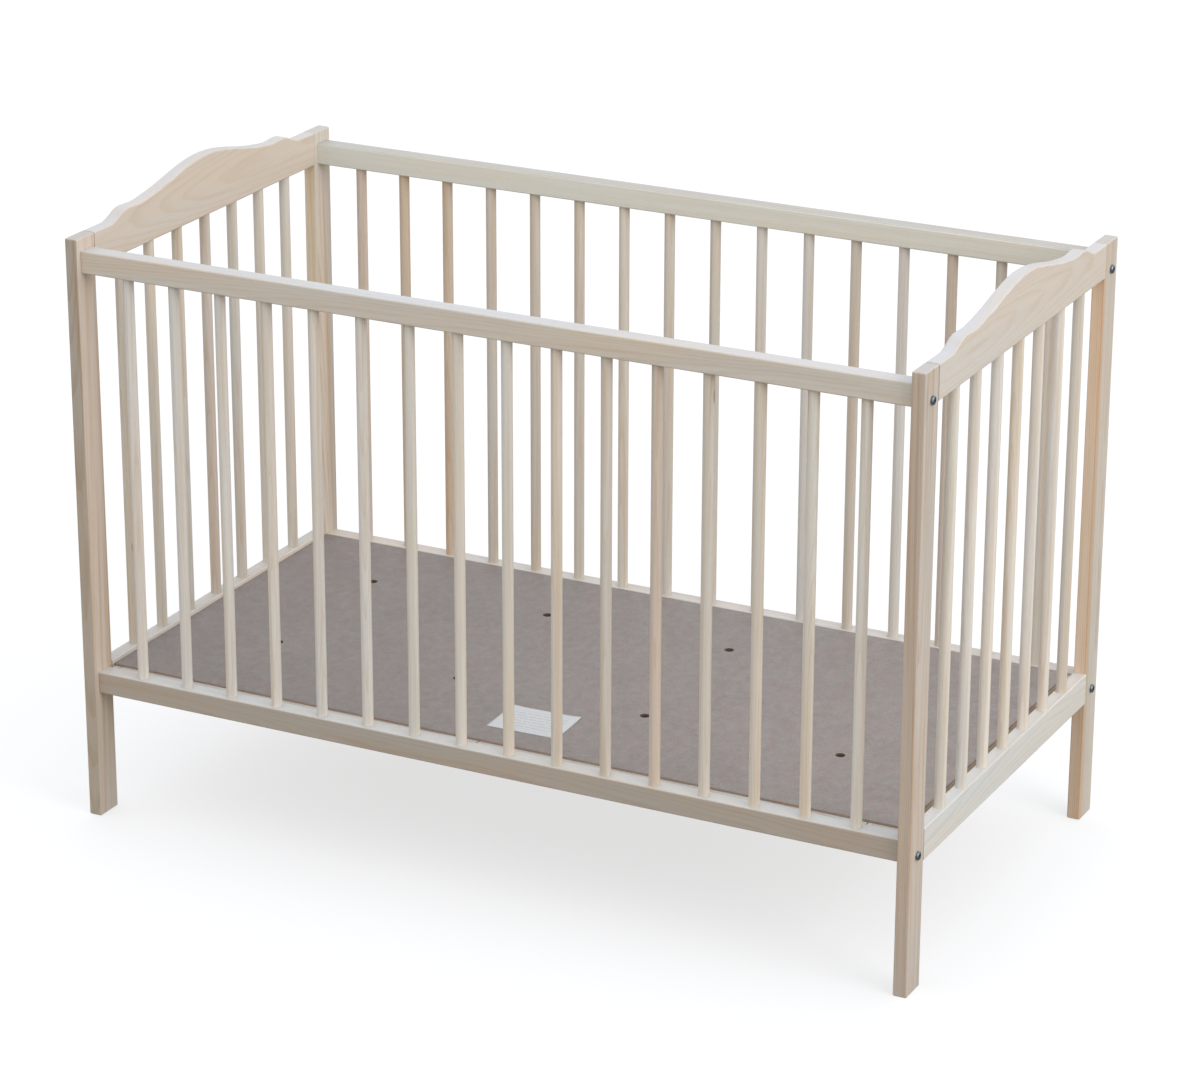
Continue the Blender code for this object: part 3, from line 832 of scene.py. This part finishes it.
def board_section(bm, x_low, x_high, y, bottom):
    """The board's rounded cross section at y, as a ring of new vertices."""
    top = board_top(y)
    ring = []
    corners = (
        (x_high - BOARD_ROUND, top - BOARD_ROUND, 0.0),
        (x_low + BOARD_ROUND, top - BOARD_ROUND, math.pi / 2),
        (x_low + BOARD_ROUND, bottom + BOARD_ROUND, math.pi),
        (x_high - BOARD_ROUND, bottom + BOARD_ROUND, 1.5 * math.pi),
    )
    for x, z, start in corners:
        for step in range(ROUND_STEPS + 1):
            angle = start + step * math.pi / 2 / ROUND_STEPS
            place = (x + BOARD_ROUND * math.cos(angle), y, z + BOARD_ROUND * math.sin(angle))
            ring.append(bm.verts.new(place))
    return ring


def end_spindle_places():
    return centred(END_SPINDLES, 2 * INNER_Y / (END_SPINDLES + 1))


def make_end_board(end, looks):
    node = f"{end}_end_board"
    low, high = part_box(node)
    bm = bmesh.new()
    half = INNER_Y - GAP
    rings = []
    for i in range(BOARD_STATIONS + 1):
        y = -half + 2 * half * i / BOARD_STATIONS
        rings.append(board_section(bm, low.x, high.x, y, low.z))
    for near, far in zip(rings, rings[1:]):
        for i in range(len(near)):
            j = (i + 1) % len(near)
            bm.faces.new((near[i], near[j], far[j], far[i]))
    bm.faces.new(rings[0])
    bm.faces.new(rings[-1])
    bmesh.ops.recalc_face_normals(bm, faces=bm.faces)
    x = (low.x + high.x) / 2
    floor = low.z + SPINDLE_SINK + GAP
    holes = [
        placed(rod(TENON_RADIUS + GAP / 2, low.z - OVERSHOOT, floor), (x, y, 0.0))
        for y in end_spindle_places()
    ]
    bm = carved(bm, holes)
    tone = BOARD_TONES_AND_PAINTED_LIGHT[end]
    name = f"{node}_wood"
    make_piece(name, bm, looks["board"], "frame", [node], "Y", tone, BOARD_HEART)


def rail_top(node):
    """Top of an end rail, from its ends, as the CAD node also holds the spindles above it."""
    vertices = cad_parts[node].data.vertices
    return max(v.co.z for v in vertices if abs(abs(v.co.y) - INNER_Y) < 2 * GAP)


def make_end_rail(end, looks):
    """The bottom rail of an end and the spindles glued into it, which the CAD has as one node."""
    node = f"{end}_end_rail"
    low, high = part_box(node)
    board_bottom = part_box(f"{end}_end_board")[0].z
    top = rail_top(node)
    half = INNER_Y - GAP
    x = (low.x + high.x) / 2
    bm = rounded_box((low.x, -half, low.z), (high.x, half, top), EDGE_ROUND, along=1)
    floor = top - SPINDLE_SINK
    holes = [
        placed(rod(SPINDLE_RADIUS + GAP / 2, floor - GAP, top + OVERSHOOT), (x, y, 0.0))
        for y in end_spindle_places()
    ]
    bm = carved(bm, holes)
    tone = END_RAIL_TONES_AND_PAINTED_LIGHT[end]
    make_piece(f"{node}_wood", bm, looks["rail"], "frame", [node], "Y", tone)
    shoulder = board_bottom - GAP
    tip = board_bottom + SPINDLE_SINK
    for number, (y, tone) in enumerate(zip(end_spindle_places(), SPINDLE_TONES[end]), start=1):
        profile = [
            (0.0, floor),
            (SPINDLE_RADIUS, floor),
            (SPINDLE_RADIUS, shoulder - SAWN_ROUND),
            (SPINDLE_RADIUS - SAWN_ROUND, shoulder),
            (TENON_RADIUS, shoulder),
            (TENON_RADIUS, tip),
            (0.0, tip),
        ]
        bm = placed(turned(profile), (x, y, 0.0))
        name = f"{end}_spindle_{number}_wood"
        make_piece(name, bm, looks["spindle"], "frame", [node], "Z", TONES[tone])


# Base

def make_ledger(side, looks):
    node = f"{side}_ledger"
    low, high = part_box(node)
    notches = []
    for number in BATTENS:
        batten_low, batten_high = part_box(f"base_batten_{number}")
        notch_low = (batten_low.x - BATTEN_SLACK, low.y - OVERSHOOT, batten_low.z - GAP)
        notch_high = (batten_high.x + BATTEN_SLACK, high.y + OVERSHOOT, high.z + OVERSHOOT)
        notches.append(rounded_box(notch_low, notch_high, GAP, along=1))
    bm = carved(rounded_box(low, high, SAWN_ROUND), notches)
    make_piece(f"{node}_wood", bm, looks["sawn"], "frame", [node], "X", LEDGER_TONE)


def make_batten(number, looks):
    node = f"base_batten_{number}"
    low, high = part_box(node)
    bm = rounded_box(low, high, SAWN_ROUND)
    make_piece(f"{node}_wood", bm, looks["sawn"], "base", [node], "Y", BATTEN_TONE_AND_PAINTED_LIGHT)


def cut_outline(low, high):
    """The sheet's outline, with its sawn edges wandering a little inwards."""
    corners = [(low.x, low.y), (high.x, low.y), (high.x, high.y), (low.x, high.y)]
    points = []
    for number, (start, end) in enumerate(zip(corners, corners[1:] + corners[:1])):
        start = Vector(start)
        run = Vector(end) - start
        inwards = Vector((-run.y, run.x)).normalized()
        steps = round(run.length / CUT_EDGE_STEP)
        points.append(start + (inwards + run.normalized()) * CUT_EDGE_WAVE / 2)
        for i in range(1, steps):
            place = start + run * i / steps
            slow = noise.noise(Vector((i * CUT_EDGE_SLOW_PACE, number * 7.3, 0.0)))
            quick = noise.noise(Vector((i * CUT_EDGE_QUICK_PACE, number * 3.1, 5.0)))
            share = 0.5 + CUT_EDGE_SLOW_SHARE * slow + CUT_EDGE_QUICK_SHARE * quick
            points.append(place + inwards * max(CUT_EDGE_WAVE * share, 0.0))
    return points


def vent_places():
    columns = [VENT_CENTRE[0] + x for x in centred(VENT_COLUMNS, VENT_PITCH_X)]
    rows = [VENT_CENTRE[1] + y for y in centred(VENT_ROWS, VENT_PITCH_Y)]
    return [(x, y) for x in columns for y in rows]


def add_burr(bm, x, y, top, number):
    """The ragged collar of torn fibres that the drill left round a vent, under the sheet. It hangs
    low and takes the near-black drilled colour, painted shade that fills the view through the vent.
    """
    sections = []
    for i in range(FINE_SIDES):
        angle = 2 * math.pi * i / FINE_SIDES
        outwards = Vector((math.cos(angle), math.sin(angle), 0.0))
        ragged = noise.noise(outwards * BURR_NOTCHES + Vector((0.0, 0.0, number * 5.0)))
        hang = BURR_HANG + BURR_RAGGED * max(-1.0, min(1.0, 2.0 * ragged))
        section = []
        for out, down in BURR_SECTION:
            reach = VENT_RADIUS + out * BURR_LIP
            section.append(bm.verts.new(Vector((x, y, top - down * hang)) + outwards * reach))
        sections.append(section)
    for near, far in zip(sections, sections[1:] + sections[:1]):
        for i in range(len(near)):
            j = (i + 1) % len(near)
            bm.faces.new((near[i], near[j], far[j], far[i]))


def make_hardboard(looks):
    """The drilled sheet, with a torn collar under each vent; vents and collars carry painted shade.
    """
    node = "base_hardboard"
    low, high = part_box(node)
    bm = bmesh.new()
    outline = cut_outline(low, high)
    under = [bm.verts.new((point.x, point.y, low.z)) for point in outline]
    upper = [bm.verts.new((point.x, point.y, high.z)) for point in outline]
    bm.faces.new(under)
    bm.faces.new(upper)
    for i in range(len(outline)):
        j = (i + 1) % len(outline)
        bm.faces.new((under[i], under[j], upper[j], upper[i]))
    bmesh.ops.recalc_face_normals(bm, faces=bm.faces)
    drill = [
        (0.0, low.z - OVERSHOOT),
        (VENT_RADIUS, low.z - OVERSHOOT),
        (VENT_RADIUS, high.z - VENT_WORN),
        (VENT_RADIUS + VENT_WORN, high.z),
        (VENT_RADIUS + VENT_WORN, high.z + OVERSHOOT),
        (0.0, high.z + OVERSHOOT),
    ]
    vents = [placed(turned(drill), (x, y, 0.0)) for x, y in vent_places()]
    bm = carved(bm, vents)
    for number, (x, y) in enumerate(vent_places()):
        add_burr(bm, x, y, low.z, number)
    face, back, cut, drilled = looks["hardboard"]
    obj = make_piece("hardboard_sheet", bm, [face], "base", [node])
    for look in (back, cut, drilled):
        obj.data.materials.append(look)
    # Vent walls, rims and collars take the drilled colours, which are painted shade.
    reach = VENT_RADIUS + VENT_WORN + BURR_LIP
    for polygon in obj.data.polygons:
        middle = polygon.center
        if any(math.hypot(middle.x - x, middle.y - y) < reach for x, y in vent_places()):
            polygon.material_index = DRILLED_INDEX
        elif abs(polygon.normal.z) < ALONG:
            polygon.material_index = CUT_INDEX
        elif polygon.normal.z < 0:
            polygon.material_index = BACK_INDEX


def make_flat(name, bm, looks, node):
    """A sheet made flat round the origin, whose place on it is its "grain"."""
    obj = make_piece(name, bm, looks, "base", [node])
    places = []
    for vertex in obj.data.vertices:
        places.extend(vertex.co)
    obj.data.attributes["grain"].data.foreach_set("vector", places)
    thick = obj.modifiers.new("paper_thickness", "SOLIDIFY")
    thick.thickness = LABEL_THICK
    thick.offset = 1.0
    return obj


def make_label(looks):
    """A thin sheet whose far corners have lifted a little."""
    node = "paper_label"
    low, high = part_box(node)
    bm = bmesh.new()
    bmesh.ops.create_grid(bm, x_segments=LABEL_CELLS[0], y_segments=LABEL_CELLS[1], size=0.5)
    for vertex in bm.verts:
        u = vertex.co.x
        v = vertex.co.y
        nearness = abs(u) + max(v, -LABEL_NEAR_CURL * v)
        corner = max(0.0, nearness - LABEL_CURL_START) / (1 - LABEL_CURL_START)
        ripple = 0.5 + 0.5 * noise.noise(Vector((u * LABEL_RIPPLES, v * LABEL_RIPPLES, 2.0)))
        lift = LABEL_CURL * corner * corner + LABEL_RIPPLE * ripple
        vertex.co = Vector((u * LABEL_SIZE[0], v * LABEL_SIZE[1], lift))
    obj = make_flat(f"{node}_sheet", bm, looks["paper"], node)
    middle = (low + high) / 2
    turn = Matrix.Rotation(LABEL_TURN, 4, "Z")
    obj.data.transform(Matrix.Translation((middle.x, middle.y, low.z)) @ turn)


# Fasteners

def make_bolt(side, end, level, looks):
    """A domed bolt with a hexagon socket, and the barrel nut it screws into."""
    node = f"{side}_{end}_{level}_bolt"
    low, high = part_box(node)
    axis = bolt_axis(side, end, level)
    sign = ENDS[end]
    length = high.x - low.x - BOLT_HEAD_HIGH
    profile = [(0.0, -length), (BOLT_RADIUS - GAP, -length), (BOLT_RADIUS, GAP - length)]
    profile += [(BOLT_RADIUS, 0.0), (BOLT_HEAD_RADIUS - GAP, 0.0), (BOLT_HEAD_RADIUS, GAP)]
    for step in range(BOLT_DOME_STEPS + 1):
        angle = step * math.pi / 2 / BOLT_DOME_STEPS
        radius = BOLT_FLAT_RADIUS + (BOLT_HEAD_RADIUS - BOLT_FLAT_RADIUS) * math.cos(angle)
        profile.append((radius, BOLT_RIM_HIGH + (BOLT_HEAD_HIGH - BOLT_RIM_HIGH) * math.sin(angle)))
    profile.append((0.0, BOLT_HEAD_HIGH))
    socket_floor = BOLT_HEAD_HIGH - SOCKET_DEPTH
    socket = rod(SOCKET_RADIUS, socket_floor, BOLT_HEAD_HIGH + OVERSHOOT, SOCKET_SIDES)
    bm = carved(turned(profile), [socket])
    placed(bm, axis + Vector((sign * GAP, 0.0, 0.0)), along_x(sign))
    make_piece(f"{node}_steel", bm, looks["steel"], "frame", [node])
    slot_low = (-NUT_RADIUS - OVERSHOOT, -NUT_SLOT_WIDE / 2, -NUT_LENGTH / 2 - OVERSHOOT)
    slot_high = (NUT_RADIUS + OVERSHOOT, NUT_SLOT_WIDE / 2, -NUT_LENGTH / 2 + NUT_SLOT_DEEP)
    slot = rounded_box(slot_low, slot_high, NUT_SLOT_ROUND)
    thread = rod(BOLT_RADIUS + GAP / 2, -NUT_LENGTH, NUT_LENGTH)
    placed(thread, (0.0, 0.0, 0.0), along_x(1))
    nut = carved(rod(NUT_RADIUS, -NUT_LENGTH / 2, NUT_LENGTH / 2), [slot, thread])
    placed(nut, (sign * (INNER_X - NUT_FROM_POST), axis.y, axis.z))
    make_piece(f"{node}_nut", nut, looks["steel"], "frame", [node])


# Stage

def make_world():
    """Soft light: cool from the zenith, neutral from the horizon and dim from the ground."""
    world = bpy.data.worlds.new("studio")
    world.use_nodes = True
    bpy.context.scene.world = world
    tree = world.node_tree
    place = tree.nodes.new("ShaderNodeTexCoord")
    parts = tree.nodes.new("ShaderNodeSeparateXYZ")
    tree.links.new(place.outputs["Generated"], parts.inputs[0])
    height = tree.nodes.new("ShaderNodeMapRange")
    height.inputs[1].default_value = -1.0
    tree.links.new(parts.outputs["Z"], height.inputs[0])
    sky = tree.nodes.new("ShaderNodeValToRGB")
    stops = sky.color_ramp.elements
    for position, _ in SKY[1:-1]:
        stops.new(position)
    for stop, (position, colour) in zip(stops, SKY):
        stop.position = position
        stop.color = (*colour, 1.0)
    tree.links.new(height.outputs[0], sky.inputs[0])
    background = tree.nodes["Background"]
    tree.links.new(sky.outputs[0], background.inputs["Color"])
    background.inputs["Strength"].default_value = SKY_STRENGTH


def make_key_light():
    """A large square lamp, to the right of the crib and a little in front of it."""
    data = bpy.data.lights.new("key", "AREA")
    data.shape = "SQUARE"
    data.size = KEY_SIZE
    data.energy = KEY_POWER
    data.color = KEY_COLOUR
    light = bpy.data.objects.new("key", data)
    light.location = KEY_PLACE
    light.rotation_mode = "QUATERNION"
    light.rotation_quaternion = (Vector(KEY_AIM) - Vector(KEY_PLACE)).to_track_quat("-Z", "Y")
    bpy.context.scene.collection.objects.link(light)


def make_floor():
    """A plain white floor. Bounced light misses it, so only the sky lights the crib from below."""
    bm = bmesh.new()
    bmesh.ops.create_grid(bm, x_segments=1, y_segments=1, size=FLOOR_SIZE / 2)
    floor = to_mesh_object("floor", bm)
    g = Graph("white_floor")
    g.shader.inputs["Base Color"].default_value = FLOOR_GREY
    g.shader.inputs["Roughness"].default_value = FLOOR_ROUGHNESS
    g.shader.inputs["Emission Color"].default_value = (1.0, 1.0, 1.0, 1.0)
    g.shader.inputs["Emission Strength"].default_value = FLOOR_GLOW
    floor.data.materials.append(g.material)
    floor.visible_diffuse = False
    floor.visible_glossy = False


def make_camera():
    """The camera, in front of the crib, to its right and above it."""
    middle = (Vector(CAD_BOX[0]) + Vector(CAD_BOX[1])) / 2
    aim = middle + Vector(CAMERA_AIM)
    back = Vector((
        math.sin(CAMERA_AZIMUTH) * math.cos(CAMERA_ELEVATION),
        -math.cos(CAMERA_AZIMUTH) * math.cos(CAMERA_ELEVATION),
        math.sin(CAMERA_ELEVATION),
    ))
    data = bpy.data.cameras.new("camera")
    data.lens = CAMERA_LENS
    data.sensor_width = SENSOR_WIDTH
    camera = bpy.data.objects.new("camera", data)
    camera.location = aim + back * CAMERA_DISTANCE
    level = (-back).to_track_quat("-Z", "Y").to_matrix().to_4x4()
    camera.rotation_mode = "QUATERNION"
    camera.rotation_quaternion = (level @ Matrix.Rotation(CAMERA_ROLL, 4, "Z")).to_quaternion()
    bpy.context.scene.collection.objects.link(camera)
    bpy.context.scene.camera = camera


def main():
    looks = make_looks()
    for side in SIDES:
        for end in ENDS:
            make_post(side, end, looks)
            for level in LEVELS:
                make_bolt(side, end, level, looks)
        for level in LEVELS:
            make_long_rail(side, level, looks)
        make_side_spindles(side, looks)
        make_ledger(side, looks)
    for end in ENDS:
        make_end_board(end, looks)
        make_end_rail(end, looks)
    for number in BATTENS:
        make_batten(number, looks)
    make_hardboard(looks)
    make_label(looks)
    make_floor()
    make_world()
    make_key_light()
    make_camera()
    bpy.context.scene.view_settings.view_transform = "Standard"


main()
